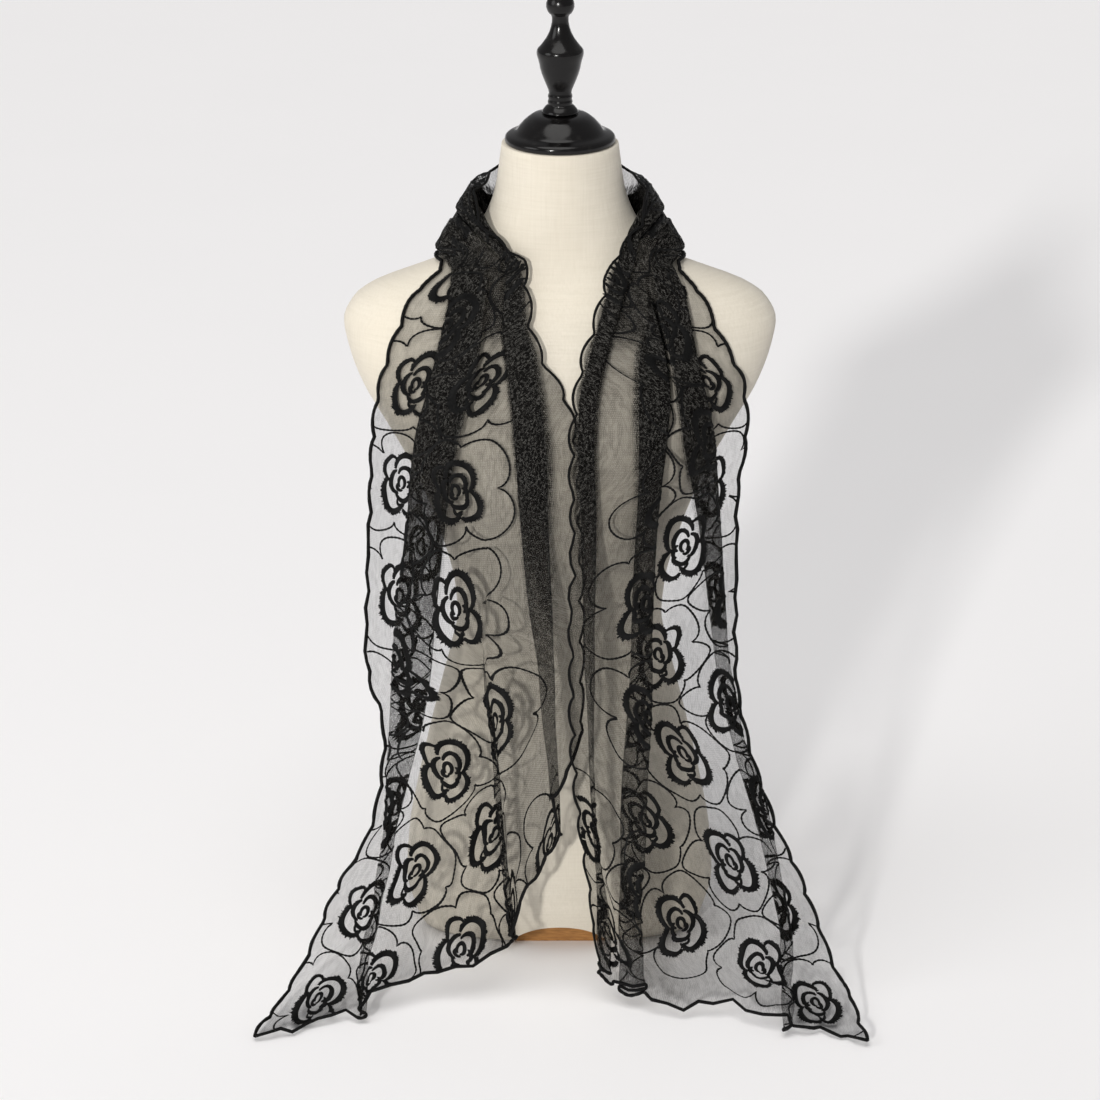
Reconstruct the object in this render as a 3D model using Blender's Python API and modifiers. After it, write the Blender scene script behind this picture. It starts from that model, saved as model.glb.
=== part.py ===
"""Tulle shawl over the shoulders of a limbless dress form.

Metres, +Z up. The origin is on the table, under the form's neck, and -Y is the front.
The shawl is one thin wall. Each of its sections runs from the outer, embroidered edge to
the inner edge, over and back through the pleats, and the sections follow one another
from the left hem, over the left shoulder, round the back of the neck and down to the
right hem. A position across is the distance from the section's outer edge.
"""

import math

import bmesh
import bpy
import numpy as np

GAP = 0.0003

# Dress form: height, half width, depth to the front, depth to the back, squareness.
FORM_SECTIONS = np.array(
    [
        (0.000, 0.1300, 0.049, 0.060, 2.3),
        (0.006, 0.1340, 0.058, 0.068, 2.3),
        (0.020, 0.1390, 0.070, 0.078, 2.3),
        (0.055, 0.1470, 0.088, 0.095, 2.3),
        (0.100, 0.1440, 0.098, 0.102, 2.3),
        (0.150, 0.1350, 0.099, 0.100, 2.3),
        (0.200, 0.1240, 0.094, 0.092, 2.3),
        (0.250, 0.1120, 0.086, 0.080, 2.2),
        (0.290, 0.1020, 0.080, 0.070, 2.2),
        (0.325, 0.0955, 0.077, 0.064, 2.2),
        (0.360, 0.0985, 0.083, 0.066, 2.2),
        (0.400, 0.1080, 0.094, 0.073, 2.2),
        (0.440, 0.1210, 0.106, 0.082, 2.2),
        (0.480, 0.1380, 0.112, 0.088, 2.2),
        (0.520, 0.1600, 0.108, 0.090, 2.2),
        (0.555, 0.1800, 0.098, 0.088, 2.2),
        (0.585, 0.1910, 0.088, 0.084, 2.2),
        (0.612, 0.1960, 0.076, 0.076, 2.1),
        (0.632, 0.1870, 0.066, 0.068, 2.1),
        (0.645, 0.1700, 0.059, 0.062, 2.0),
        (0.656, 0.1420, 0.053, 0.056, 2.0),
        (0.668, 0.1100, 0.049, 0.052, 2.0),
        (0.685, 0.0860, 0.047, 0.050, 2.0),
        (0.710, 0.0670, 0.048, 0.050, 2.0),
        (0.735, 0.0580, 0.049, 0.050, 2.0),
        (0.776, 0.0520, 0.050, 0.050, 2.0),
    ]
)
FORM_SIDES = 38
ARCH_HALF_WIDTH, ARCH_HEIGHT = 0.0458, 0.029
BOARD_FRONT, BOARD_BACK = -0.0475, -0.0395

# Turned wood: radius, height.
CAP_PROFILE = [
    (0.0000, 0.7763),
    (0.0480, 0.7763),
    (0.0493, 0.7776),
    (0.0493, 0.7812),
    (0.0470, 0.7838),
    (0.0400, 0.7856),
    (0.0379, 0.7885),
    (0.0360, 0.7912),
    (0.0300, 0.7975),
    (0.0229, 0.8020),
    (0.0000, 0.8025),
]
FINIAL_PROFILE = [
    (0.0000, 0.8028),
    (0.0164, 0.8028),
    (0.0160, 0.8050),
    (0.0126, 0.8092),
    (0.0104, 0.8105),
    (0.0113, 0.8130),
    (0.0102, 0.8155),
    (0.0112, 0.8180),
    (0.0096, 0.8216),
    (0.0141, 0.8320),
    (0.0174, 0.8410),
    (0.0192, 0.8500),
    (0.0210, 0.8560),
    (0.0205, 0.8600),
    (0.0174, 0.8632),
    (0.0106, 0.8727),
    (0.0074, 0.8830),
    (0.0074, 0.8905),
    (0.0110, 0.8930),
    (0.0130, 0.8995),
    (0.0108, 0.9060),
    (0.0081, 0.9090),
    (0.0095, 0.9130),
    (0.0085, 0.9200),
    (0.0052, 0.9262),
    (0.0000, 0.9285),
]
CAP_SIDES, FINIAL_SIDES = 28, 18

# Shawl
WALL = 0.0010
OFF_FORM = 0.0022
LAYER = 0.0035
FOLD_NOSE = 0.00175
CLOSED_PLEAT = 0.004
FULL_PLEAT = 0.008
CLOTH_FALL = 0.145
LEAVES_BUST, HANGS_FREE = 0.45, 0.12
FLOOR_BEND = 0.040

# Front panels, top row first. level_out, level_in: height of the section's two ends, and
# less than 0 the way out along the table. out: from the middle line to the outer edge.
# Then each pleat's outer fold and width, with 0 for a pleat that is closed there, and
# the inner edge.
PANEL_COLUMNS = "level_out level_in out p1 w1 p2 w2 p3 w3 inner".split()
LEFT_ROWS = [
    (0.656, 0.682, 0.116, 0.094, 0.028, 0.0555, 0.000, 0.046, 0.010, 0.0290),
    (0.645, 0.660, 0.131, 0.096, 0.029, 0.057, 0.000, 0.047, 0.013, 0.0260),
    (0.625, 0.630, 0.142, 0.101, 0.030, 0.061, 0.000, 0.051, 0.018, 0.0240),
    (0.600, 0.600, 0.152, 0.108, 0.034, 0.062, 0.000, 0.048, 0.024, 0.0140),
    (0.565, 0.565, 0.162, 0.117, 0.035, 0.065, 0.000, 0.043, 0.025, -0.0080),
    (0.520, 0.520, 0.169, 0.127, 0.035, 0.067, 0.000, 0.039, 0.027, -0.0180),
    (0.450, 0.450, 0.173, 0.134, 0.033, 0.069, 0.000, 0.034, 0.024, -0.0200),
    (0.314, 0.402, 0.178, 0.149, 0.035, 0.070, 0.002, 0.029, 0.022, -0.0220),
    (0.246, 0.377, 0.162, 0.153, 0.030, 0.068, 0.004, 0.025, 0.019, -0.0220),
    (0.178, 0.353, 0.171, 0.161, 0.021, 0.063, 0.006, 0.021, 0.016, -0.0220),
    (0.109, 0.329, 0.204, 0.168, 0.012, 0.061, 0.008, 0.018, 0.013, -0.0220),
    (0.041, 0.304, 0.232, 0.177, 0.009, 0.058, 0.008, 0.015, 0.012, -0.0215),
    (-0.027, 0.280, 0.259, 0.185, 0.008, 0.053, 0.008, 0.012, 0.011, -0.0210),
    (-0.095, 0.256, 0.279, 0.184, 0.008, 0.047, 0.008, 0.010, 0.010, -0.0200),
]
RIGHT_ROWS = [
    (0.656, 0.682, 0.114, 0.1010, 0.020, 0.0730, 0.000, 0.0630, 0.013, 0.0430),
    (0.645, 0.660, 0.127, 0.1080, 0.023, 0.0770, 0.002, 0.0590, 0.015, 0.0370),
    (0.625, 0.630, 0.137, 0.1140, 0.024, 0.0850, 0.008, 0.0500, 0.015, 0.0290),
    (0.600, 0.600, 0.150, 0.1190, 0.021, 0.0920, 0.022, 0.0400, 0.014, 0.0180),
    (0.565, 0.565, 0.165, 0.1270, 0.024, 0.0960, 0.027, 0.0320, 0.015, 0.0105),
    (0.520, 0.520, 0.169, 0.1350, 0.026, 0.0920, 0.023, 0.0295, 0.014, 0.0070),
    (0.450, 0.450, 0.161, 0.1410, 0.019, 0.0850, 0.018, 0.0310, 0.013, 0.0085),
    (0.312, 0.350, 0.161, 0.1520, 0.012, 0.0810, 0.018, 0.0310, 0.010, 0.0065),
    (0.244, 0.301, 0.172, 0.1650, 0.011, 0.0810, 0.020, 0.0320, 0.009, 0.0060),
    (0.175, 0.251, 0.195, 0.1860, 0.012, 0.0790, 0.021, 0.0330, 0.008, 0.0070),
    (0.106, 0.201, 0.226, 0.2020, 0.012, 0.0785, 0.022, 0.0345, 0.008, 0.0100),
    (0.037, 0.151, 0.251, 0.2120, 0.010, 0.0780, 0.022, 0.0370, 0.008, 0.0160),
    (-0.031, 0.092, 0.270, 0.2130, 0.009, 0.0790, 0.024, 0.0430, 0.011, 0.0250),
    (-0.100, 0.022, 0.279, 0.2120, 0.009, 0.0810, 0.026, 0.0470, 0.014, 0.0290),
]
# How far a point's level has gone from the outer end's level to the inner end's, at the
# outer edge, at each pleat's inner and outer fold, and at the inner edge.
LEFT_FAN = (0.0, 0.12, 0.12, 0.40, 0.43, 0.73, 0.84, 1.0)
RIGHT_FAN = (0.0, 0.14, 0.14, 0.60, 0.60, 0.86, 0.86, 1.0)

# Collar, from a shoulder's front round to the back, the same on both sides. turn: degrees
# round the form from the back; height: of the section's two ends. Pleats as above,
# measured from the outer edge.
COLLAR_COLUMNS = "turn_out turn_in height_out height_in p1 w1 p2 w2 p3 w3".split()
COLLAR_ROWS = [
    (-120.0, -138.0, 0.6630, 0.706, 0.013, 0.023, 0.048, 0.0, 0.056, 0.015),
    (-104.0, -112.0, 0.6685, 0.730, 0.008, 0.025, 0.042, 0.0, 0.050, 0.018),
    (-90.0, -90.0, 0.6700, 0.744, 0.006, 0.026, 0.040, 0.0, 0.048, 0.020),
    (-72.0, -70.0, 0.6670, 0.747, 0.007, 0.026, 0.043, 0.0, 0.052, 0.022),
    (-48.0, -48.0, 0.6540, 0.748, 0.009, 0.024, 0.046, 0.0, 0.058, 0.025),
    (-22.0, -22.0, 0.6370, 0.748, 0.010, 0.029, 0.053, 0.0, 0.066, 0.030),
    (0.0, 0.0, 0.6310, 0.748, 0.010, 0.030, 0.055, 0.0, 0.068, 0.031),
]
# Height and half width of the collar's own sides, which span the hollow where the neck
# meets the shoulders.
COLLAR_SIDES = np.array(
    [
        (0.630, 0.130),
        (0.668, 0.106),
        (0.690, 0.095),
        (0.712, 0.082),
        (0.732, 0.068),
        (0.750, 0.052),
        (0.780, 0.024),
    ]
)

# Stations along the cloth, counted in rows of the tables from the left hem: close together
# near the hem, where it bends on to the table, and over the shoulder. Edges across it
# between two folds.
PANEL_STATIONS = [(0.0, 4.4, 11), (4.4, 8.0, 6), (8.0, 16.6, 14)]
COLLAR_STATIONS = 13
EDGES = {"into": 2, "nose": 1, "across": (2, 1, 2), "over": (2, 1, 2), "open": 2}


def curve(keys, values, at):
    """Smooth values between the rows of a table that never swing past them."""
    slope = np.diff(values, axis=0) / np.diff(keys)[:, None]
    tangent = np.vstack([slope[:1], np.zeros_like(values[1:-1]), slope[-1:]])
    product = slope[1:] * slope[:-1]
    total = slope[1:] + slope[:-1]
    safe = np.where(total == 0, 1, total)
    tangent[1:-1] = np.where(product > 0, 2 * product / safe, 0)
    at = np.clip(np.atleast_1d(at), keys[0], keys[-1])
    row = np.clip(np.searchsorted(keys, at, side="right") - 1, 0, len(keys) - 2)
    span = (keys[row + 1] - keys[row])[:, None]
    t = (at - keys[row])[:, None] / span
    return (
        (1 + 2 * t) * (1 - t) ** 2 * values[row]
        + t * (1 - t) ** 2 * span * tangent[row]
        + t * t * (3 - 2 * t) * values[row + 1]
        + t * t * (t - 1) * span * tangent[row + 1]
    )


def ease(t):
    t = np.clip(t, 0, 1)
    return t * t * (3 - 2 * t)


def form_section(height):
    """Half width, front depth, back depth and squareness at each height."""
    flat = np.ravel(height)
    values = curve(FORM_SECTIONS[:, 0], FORM_SECTIONS[:, 1:], flat)
    return [values[:, k].reshape(np.shape(height)) for k in range(4)]


def collar_half(height, half):
    """The half width that the collar lies on."""
    spanned = curve(COLLAR_SIDES[:, 0], COLLAR_SIDES[:, 1:], np.ravel(height))[:, 0]
    spanned = spanned.reshape(np.shape(height))
    return 0.5 * (half + spanned + np.sqrt((half - spanned) ** 2 + 0.010**2))


def form_point(turn, height, collar=False):
    """The form's, or the collar's, surface at an angle from the back, and at a height."""
    half, front, back, square = form_section(height)
    if collar:
        half = collar_half(height, half)
    side, ahead = np.sin(turn), np.cos(turn)
    depth = np.where(ahead > 0, back, front)
    x = half * np.sign(side) * np.abs(side) ** (2 / square)
    y = depth * np.sign(ahead) * np.abs(ahead) ** (2 / square)
    return np.stack([x, y, height + 0 * x], -1)


def front_depth(x, height):
    half, front, _, square = form_section(height)
    inside = np.maximum(1 - (np.abs(x) / half) ** square, 0)
    return front * inside ** (1 / square)


def hanging(x, level):
    """The cloth's fall in front: over the bust, straight down, then out on the table."""
    x, level = np.broadcast_arrays(x, level)
    height = 0.5 * (level + np.sqrt(level**2 + FLOOR_BEND**2))
    height = height - 0.004 * ease(-level / 0.08)
    above = np.maximum(height[..., None], np.linspace(0.44, 0.66, 23))
    on_form = front_depth(x[..., None] + 0 * above, above).max(-1)
    free = ease((LEAVES_BUST - height) / (LEAVES_BUST - HANGS_FREE))
    sway = 0.006 * free * np.sin(70 * x + 9 * height + 0.6)
    depth = (1 - free) * on_form + free * CLOTH_FALL + sway + height - level
    return np.stack([x, -depth, height], -1)


def outward(surface, a, b, step_a, step_b, side):
    """Unit normals of a surface of two values, by differences."""
    along_a = surface(a + step_a, b) - surface(a - step_a, b)
    along_b = surface(a, b + step_b) - surface(a, b - step_b)
    normal = np.cross(along_a, along_b) * side
    return normal / np.linalg.norm(normal, axis=-1, keepdims=True)


def even(start, end, edges):
    """Points from start to end, without the start."""
    return [start + (end - start) * (k + 1) / edges for k in range(edges)]


def section(pleats, width, fan, settled, bridge):
    """Distance from the outer edge, rise and fan share of each point across a section.

    settled is 1 where the last pleat and the inner edge lie down on the form, and 0 where
    they stay up, as the right panel's do to pass over the left one. bridge is 1 where the
    cloth spans from pleat to pleat instead of lying down between them.
    """
    across, rise, share = [0.0], [0.0], [fan[0]]

    def add(positions, rises, shares):
        across.extend(positions)
        rise.extend(rises)
        share.extend(shares)

    def fold(place, way, near_nose, far_nose, base, layer, at_share):
        """Round a fold at place, from rise base to base + layer."""
        for turn in even(-90.0, 90.0, 2 * EDGES["nose"]):
            bend = math.radians(turn)
            nose = near_nose if turn <= 0 else far_nose
            lifted = base + 0.5 * layer * (1 + math.sin(bend))
            add([place - way * nose * (1 - math.cos(bend))], [lifted], [at_share])

    top, cleared, last_share, far = 0.0, 0.0, fan[0], 0.0
    for k, (edge, pleat) in enumerate(pleats):
        wide = pleat - CLOSED_PLEAT * (1 - ease(pleat / FULL_PLEAT))
        open_share = ease((wide + CLOSED_PLEAT) / (0.5 * FULL_PLEAT + CLOSED_PLEAT))
        near = edge + 0.5 * (pleat - wide)
        far = near + wide
        nose = FOLD_NOSE * (2 * open_share - 1)
        nose = min(nose, 0.4 * max(wide, 0.0)) if nose > 0 else nose
        layer = LAYER * open_share
        tilt = 0.3 * layer * (1 - ease(wide / FULL_PLEAT))
        flat_from = min(near - 0.003, far - FOLD_NOSE - 0.001)
        far_share, near_share = fan[1 + 2 * k], fan[2 + 2 * k]
        gone = (flat_from - cleared) / (far - cleared)
        mid_share = last_share + (far_share - last_share) * gone
        base = (0.0, 0.75 * top * bridge, max(LAYER * (1 - settled), 0.40 * top * bridge))[k]
        edges = EDGES["open"]
        add(
            even(cleared, flat_from, edges),
            [top + (base - top) * ease(g) for g in even(0.0, 1.0, edges)],
            even(last_share, mid_share, edges),
        )
        edges = EDGES["into"]
        add(
            even(flat_from, far - FOLD_NOSE, edges),
            [base] * edges,
            even(mid_share, far_share, edges),
        )
        fold(far, 1, FOLD_NOSE, nose, base, layer - tilt, far_share)
        edges = EDGES["across"][k]
        add(
            even(far - nose, near + nose, edges),
            even(base + layer - tilt, base + layer + tilt, edges),
            even(far_share, near_share, edges),
        )
        fold(near, -1, nose, FOLD_NOSE, base + layer + tilt, layer - tilt, near_share)
        top = base + 2 * layer
        cleared = max(far + 0.003, near + FOLD_NOSE + 0.001)
        if k == len(pleats) - 1:
            cleared = min(cleared, width - 0.006)
        last_share = near_share + 0.3 * (fan[3 + 2 * k] - near_share)
        edges = EDGES["over"][k]
        add(
            even(near + FOLD_NOSE, cleared, edges),
            [top] * edges,
            even(near_share, last_share, edges),
        )
    drop = top * settled * ease((width - far - 0.008) / 0.010)
    edges = EDGES["open"] + 1
    add(
        even(cleared, width, edges),
        [top - drop * ease(g) for g in even(0.0, 1.0, edges)],
        even(last_share, 1.0, edges),
    )
    return np.array(across), np.array(rise), np.array(share)


def named(rows, columns, at):
    """The table's values at a place among its rows, by column name."""
    table = np.array(rows, float)
    values = curve(np.arange(len(table), dtype=float), table, at)[0]
    return dict(zip(columns, values))


def panel_section(rows, fan, side, at):
    """One section of a front panel: points and outward normals. side is -1 on the left."""
    row = named(rows, PANEL_COLUMNS, at)
    pleats = [(row["out"] - row[f"p{k}"], row[f"w{k}"]) for k in (1, 2, 3)]
    width = row["out"] - row["inner"]
    across, rise, share = section(pleats, width, fan, 1.0 if side < 0 else 0.0, ease(1 - at / 2))
    straight = across / width
    blend = ease((0.62 - row["level_out"]) / 0.14)
    share = (1 - blend) * straight + blend * share
    level = row["level_out"] + (row["level_in"] - row["level_out"]) * share
    x = side * (row["out"] - across)
    point = hanging(x, level)
    normal = outward(hanging, x, level, 0.004, 0.004, 1.0)
    return point + normal * (OFF_FORM + rise)[:, None]


def collar_section(side, at):
    """One section of the collar's half on that side, as in panel_section."""
    row = named(COLLAR_ROWS, COLLAR_COLUMNS, at)
    steps = np.linspace(0, 1, 30)
    turns = np.radians(row["turn_out"] + (row["turn_in"] - row["turn_out"]) * steps)
    heights = row["height_out"] + (row["height_in"] - row["height_out"]) * steps
    track = form_point(turns, heights, True)
    run = np.concatenate([[0], np.cumsum(np.linalg.norm(np.diff(track, axis=0), axis=1))])
    pleats = [(row[f"p{k}"], row[f"w{k}"]) for k in (1, 2, 3)]
    settled = 1.0 if side < 0 else ease(at / 3)
    across, rise, _ = section(pleats, run[-1], (0.0,) * 8, settled, 1.0)
    place = np.interp(across, run, steps)
    turn = np.radians(row["turn_out"] + (row["turn_in"] - row["turn_out"]) * place)
    height = row["height_out"] + (row["height_in"] - row["height_out"]) * place
    point = form_point(turn, height, True)
    normal = outward(lambda a, b: form_point(a, b, True), turn, height, 0.05, 0.008, -1.0)
    found = point + normal * (OFF_FORM + rise)[:, None]
    return found * (1 if side < 0 else np.array([-1, 1, 1]))


def shawl_section(at):
    """A section of the whole shawl: 0 is the left hem, and the right hem is LAST."""
    if at > LAST / 2:
        side, at, rows, fan = 1, LAST - at, RIGHT_ROWS, RIGHT_FAN
    else:
        side, rows, fan = -1, LEFT_ROWS, LEFT_FAN
    hem = len(rows) - 1
    if at <= hem:
        return panel_section(rows, fan, side, hem - at)
    top = panel_section(rows, fan, side, 0.0)
    if at < hem + 1:
        first = collar_section(side, 0.0)
        return top + (first - top) * (at - hem)
    return collar_section(side, at - hem - 1)


LAST = 2.0 * (len(LEFT_ROWS) + len(COLLAR_ROWS) - 1)
SEAM = PANEL_STATIONS[-1][1]


def empty_scene():
    for obj in list(bpy.data.objects):
        bpy.data.objects.remove(obj, do_unlink=True)


def new_collection(name, hidden=False):
    collection = bpy.data.collections.new(name)
    bpy.context.scene.collection.children.link(collection)
    collection.hide_render = hidden
    return collection


def material(name, colour, roughness):
    made = bpy.data.materials.new(name)
    made.use_nodes = True
    shader = made.node_tree.nodes["Principled BSDF"]
    shader.inputs["Base Color"].default_value = (*colour, 1)
    shader.inputs["Roughness"].default_value = roughness
    shader.inputs["Metallic"].default_value = 0.0
    return made


def add_object(name, mesh, collection, look=None):
    obj = bpy.data.objects.new(name, mesh)
    collection.objects.link(obj)
    if look:
        mesh.materials.append(look)
    return obj


def grid_mesh(name, points):
    """An open surface through rows of points."""
    rows, columns = points.shape[:2]
    faces = [
        (r * columns + c, r * columns + c + 1, (r + 1) * columns + c + 1, (r + 1) * columns + c)
        for r in range(rows - 1)
        for c in range(columns - 1)
    ]
    mesh = bpy.data.meshes.new(name)
    mesh.from_pydata(points.reshape(-1, 3).tolist(), [], faces)
    mesh.shade_smooth()
    return mesh


def cloth(name, start, end, stations, collection, look):
    """A stretch of the shawl, held back from its neighbours by half a gap at each seam."""
    places = np.array(stations)
    rows = [shawl_section(p) for p in places]
    for k, inward in ((0, 1), (-1, -1)):
        if places[k] not in (0.0, LAST):
            nearby = shawl_section(places[k] + 0.05 * inward)
            way = nearby - rows[k]
            way = way / np.linalg.norm(way, axis=1, keepdims=True)
            rows[k] = rows[k] + 0.8 * GAP * way
    obj = add_object(name, grid_mesh(name, np.array(rows)), collection, look)
    wall = obj.modifiers.new("Wall", "SOLIDIFY")
    wall.thickness = WALL
    wall.offset = 0.0
    wall.use_rim = True
    return obj


def loft(name, rings, collection, look):
    """A closed body through rings of equal count, with flat ends."""
    count = len(rings[0])
    body = bmesh.new()
    made = [[body.verts.new(p) for p in ring] for ring in rings]
    for low, high in zip(made, made[1:]):
        for k in range(count):
            body.faces.new((low[k], low[(k + 1) % count], high[(k + 1) % count], high[k]))
    body.faces.new(made[0][::-1])
    body.faces.new(made[-1])
    bmesh.ops.recalc_face_normals(body, faces=body.faces)
    mesh = bpy.data.meshes.new(name)
    body.to_mesh(mesh)
    body.free()
    mesh.shade_smooth()
    mesh.set_sharp_from_angle(angle=math.radians(50))
    return add_object(name, mesh, collection, look)


def arch_plate(name, inset, low, front, back, collection, look=None):
    """A plate of the arch's outline, its flat sides facing front and back."""
    half, tall = ARCH_HALF_WIDTH - inset, ARCH_HEIGHT - inset
    xs = half * np.sin(np.linspace(-math.pi / 2, math.pi / 2, 17))
    tops = tall * np.maximum(1 - np.abs(xs / half) ** 2.2, 0) ** 0.62
    outline = [(-half, low)] + list(zip(xs, tops)) + [(half, low)]
    if low == 0:
        outline = outline[1:-1]
    body = bmesh.new()
    base = body.faces.new([body.verts.new((x, back, z)) for x, z in outline])
    grown = bmesh.ops.extrude_face_region(body, geom=[base])
    moved = [v for v in grown["geom"] if isinstance(v, bmesh.types.BMVert)]
    bmesh.ops.translate(body, verts=moved, vec=(0, front - back, 0))
    bmesh.ops.recalc_face_normals(body, faces=body.faces)
    mesh = bpy.data.meshes.new(name)
    body.to_mesh(mesh)
    body.free()
    return add_object(name, mesh, collection, look)


def turned(name, profile, sides, collection, look):
    """A turned body from its profile, by the Screw modifier."""
    mesh = bpy.data.meshes.new(name)
    points = [(r, 0, z) for r, z in profile[::-1]]
    edges = [(k, k + 1) for k in range(len(points) - 1)]
    mesh.from_pydata(points, edges, [])
    obj = add_object(name, mesh, collection, look)
    screw = obj.modifiers.new("Turn", "SCREW")
    screw.steps = sides
    screw.render_steps = sides
    screw.use_merge_vertices = True
    screw.merge_threshold = 0.00005
    screw.use_smooth_shade = True
    screw.use_normal_calculate = True
    return obj


def build():
    empty_scene()
    parts = new_collection("tulle shawl on dress form")
    cutters = new_collection("cutters", hidden=True)
    tulle = (0.012, 0.012, 0.014)

    angles = np.linspace(0, 2 * math.pi, FORM_SIDES, endpoint=False)
    rings = [form_point(angles, np.full(FORM_SIDES, h)) for h in FORM_SECTIONS[:, 0]]
    linen = material("cream linen", (0.80, 0.74, 0.64), 0.85)
    form = loft("dress_form", rings, parts, linen)
    cutter = arch_plate("arch_cutter", 0.0, -0.01, -0.20, BOARD_BACK, cutters)
    cutter.display_type = "WIRE"
    cutter.hide_render = True
    pocket = form.modifiers.new("Arch", "BOOLEAN")
    pocket.operation = "DIFFERENCE"
    pocket.solver = "EXACT"
    pocket.object = cutter

    board_look = material("brown board", (0.42, 0.20, 0.07), 0.6)
    arch_plate("base_board", GAP, 0, BOARD_FRONT, BOARD_BACK - GAP, parts, board_look)

    cap_look = material("cap lacquer", (0.010, 0.009, 0.009), 0.22)
    turned("neck_cap", CAP_PROFILE, CAP_SIDES, parts, cap_look)
    finial_look = material("finial lacquer", (0.010, 0.009, 0.009), 0.2)
    turned("finial", FINIAL_PROFILE, FINIAL_SIDES, parts, finial_look)

    spans = [np.linspace(a, b, n, endpoint=False) for a, b, n in PANEL_STATIONS]
    left = np.append(np.concatenate(spans), SEAM)
    collar = np.linspace(SEAM, LAST - SEAM, COLLAR_STATIONS)
    right = LAST - left[::-1]
    cloth("shawl_left", 0, SEAM, left, parts, material("tulle left", tulle, 0.9))
    cloth("shawl_back", SEAM, LAST - SEAM, collar, parts, material("tulle back", tulle, 0.9))
    cloth("shawl_right", LAST - SEAM, LAST, right, parts, material("tulle right", tulle, 0.9))


build()
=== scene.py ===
"""Looks of the tulle shawl over the shoulders of a limbless dress form.

The shawl is one sheet of net here, shaped by the same tables as the solids but with finer
edges. It has flat coordinates: u along its outer edge from the middle of the back, and v
across it from that edge. The corded edge, the roses and the fine stitching are drawn in
these and laid on the sheet.
"""

import math

import bmesh
import bpy
import numpy as np
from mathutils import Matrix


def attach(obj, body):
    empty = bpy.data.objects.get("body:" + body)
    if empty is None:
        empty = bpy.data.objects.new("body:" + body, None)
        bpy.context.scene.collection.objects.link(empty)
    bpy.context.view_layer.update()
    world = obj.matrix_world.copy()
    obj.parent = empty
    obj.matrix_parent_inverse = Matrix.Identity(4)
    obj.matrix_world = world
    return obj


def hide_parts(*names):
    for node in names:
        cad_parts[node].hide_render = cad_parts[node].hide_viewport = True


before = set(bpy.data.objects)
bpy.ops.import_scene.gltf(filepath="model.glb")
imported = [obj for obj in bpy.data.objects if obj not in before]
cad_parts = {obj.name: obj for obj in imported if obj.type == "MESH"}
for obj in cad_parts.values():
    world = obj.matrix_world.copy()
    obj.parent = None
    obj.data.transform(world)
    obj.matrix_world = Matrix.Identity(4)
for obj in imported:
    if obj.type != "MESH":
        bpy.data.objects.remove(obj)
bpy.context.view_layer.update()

# Dress form: height, half width, depth to the front, depth to the back, squareness.
FORM_SECTIONS = np.array(
    [
        (0.000, 0.1300, 0.049, 0.060, 2.3),
        (0.006, 0.1340, 0.058, 0.068, 2.3),
        (0.020, 0.1390, 0.070, 0.078, 2.3),
        (0.055, 0.1470, 0.088, 0.095, 2.3),
        (0.100, 0.1440, 0.098, 0.102, 2.3),
        (0.150, 0.1350, 0.099, 0.100, 2.3),
        (0.200, 0.1240, 0.094, 0.092, 2.3),
        (0.250, 0.1120, 0.086, 0.080, 2.2),
        (0.290, 0.1020, 0.080, 0.070, 2.2),
        (0.325, 0.0955, 0.077, 0.064, 2.2),
        (0.360, 0.0985, 0.083, 0.066, 2.2),
        (0.400, 0.1080, 0.094, 0.073, 2.2),
        (0.440, 0.1210, 0.106, 0.082, 2.2),
        (0.480, 0.1380, 0.112, 0.088, 2.2),
        (0.520, 0.1600, 0.108, 0.090, 2.2),
        (0.555, 0.1800, 0.098, 0.088, 2.2),
        (0.585, 0.1910, 0.088, 0.084, 2.2),
        (0.612, 0.1960, 0.076, 0.076, 2.1),
        (0.632, 0.1870, 0.066, 0.068, 2.1),
        (0.645, 0.1700, 0.059, 0.062, 2.0),
        (0.656, 0.1420, 0.053, 0.056, 2.0),
        (0.668, 0.1100, 0.049, 0.052, 2.0),
        (0.685, 0.0860, 0.047, 0.050, 2.0),
        (0.710, 0.0670, 0.048, 0.050, 2.0),
        (0.735, 0.0580, 0.049, 0.050, 2.0),
        (0.776, 0.0520, 0.050, 0.050, 2.0),
    ]
)
FORM_TOP = 0.776

# The arch in the front of the form's base, and how far back its pocket goes.
ARCH_HALF_WIDTH, ARCH_HEIGHT = 0.0458, 0.029
POCKET_BACK = -0.0395

# Turned wood: radius, height.
CAP_PROFILE = [
    (0.0000, 0.7763),
    (0.0480, 0.7763),
    (0.0493, 0.7776),
    (0.0493, 0.7812),
    (0.0470, 0.7838),
    (0.0400, 0.7856),
    (0.0379, 0.7885),
    (0.0360, 0.7912),
    (0.0300, 0.7975),
    (0.0229, 0.8020),
    (0.0000, 0.8025),
]
FINIAL_PROFILE = [
    (0.0000, 0.8028),
    (0.0164, 0.8028),
    (0.0160, 0.8050),
    (0.0126, 0.8092),
    (0.0104, 0.8105),
    (0.0113, 0.8130),
    (0.0102, 0.8155),
    (0.0112, 0.8180),
    (0.0096, 0.8216),
    (0.0141, 0.8320),
    (0.0174, 0.8410),
    (0.0192, 0.8500),
    (0.0210, 0.8560),
    (0.0205, 0.8600),
    (0.0174, 0.8632),
    (0.0106, 0.8727),
    (0.0074, 0.8830),
    (0.0074, 0.8905),
    (0.0110, 0.8930),
    (0.0130, 0.8995),
    (0.0108, 0.9060),
    (0.0081, 0.9090),
    (0.0095, 0.9130),
    (0.0085, 0.9200),
    (0.0052, 0.9262),
    (0.0000, 0.9285),
]

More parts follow.
